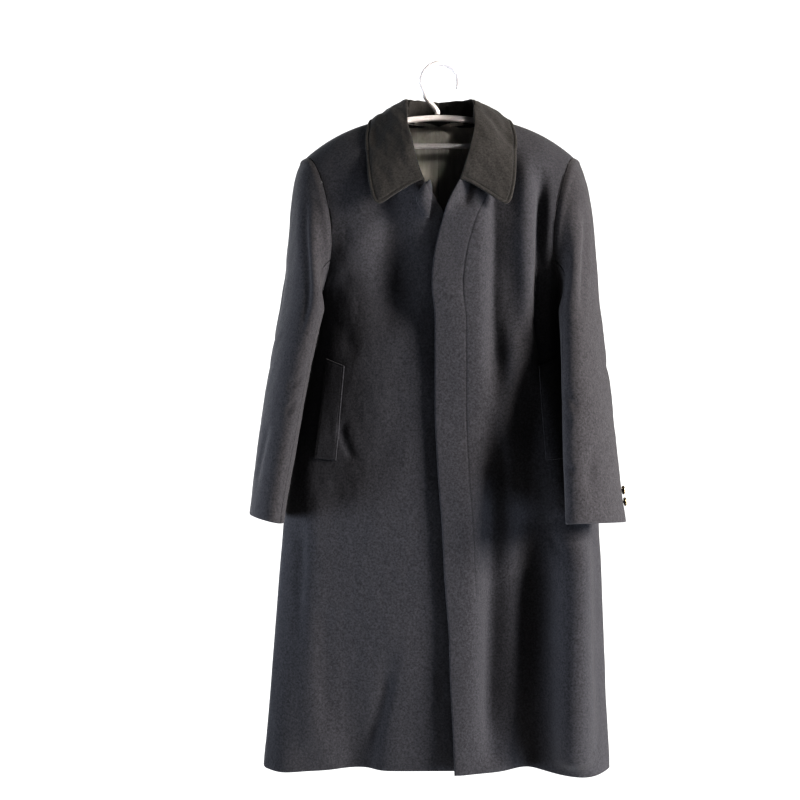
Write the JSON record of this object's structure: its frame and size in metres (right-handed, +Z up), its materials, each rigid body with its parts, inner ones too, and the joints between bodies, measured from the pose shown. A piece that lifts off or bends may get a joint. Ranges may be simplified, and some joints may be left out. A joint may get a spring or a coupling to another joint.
{
  "type": "men's wool overcoat on a plastic clothes hanger",
  "caption": "Long wool overcoat with a turn-down collar, concealed front closure, slanted welt pockets and set-in sleeves, hanging on a plastic clothes hanger.",
  "frame": {"origin": "inner top of the hanger's hook, where a rail carries it", "axes": "+Z up, -Y the coat's front, +X the wearer's left"},
  "size_m": [0.6305, 0.277, 1.2212],
  "materials": {
    "wool_body": "charcoal wool melton with a soft nap, fronts, backs and welts",
    "wool_sleeve": "charcoal wool melton with a soft nap, sleeves",
    "wool_collar": "charcoal wool melton, collar",
    "lining": "grey satin",
    "button_metal": "worn antique brass",
    "hanger_plastic": "light grey moulded plastic"
  },
  "bodies": {
    "root": {"front_left": "wool_body", "front_right": "wool_body", "back_left": "wool_body", "back_right": "wool_body", "pocket_welt_left": "wool_body", "pocket_welt_right": "wool_body", "sleeve_left_top": "wool_sleeve", "sleeve_left_under": "wool_sleeve", "sleeve_right_top": "wool_sleeve", "sleeve_right_under": "wool_sleeve", "collar": "wool_collar", "lining_back_left": "lining", "lining_back_right": "lining", "cuff_button_left_1": "button_metal", "cuff_button_left_2": "button_metal", "cuff_button_right_1": "button_metal", "cuff_button_right_2": "button_metal", "hanger_frame": "hanger_plastic", "hanger_hook": "hanger_plastic"}
  },
  "joints": []
}
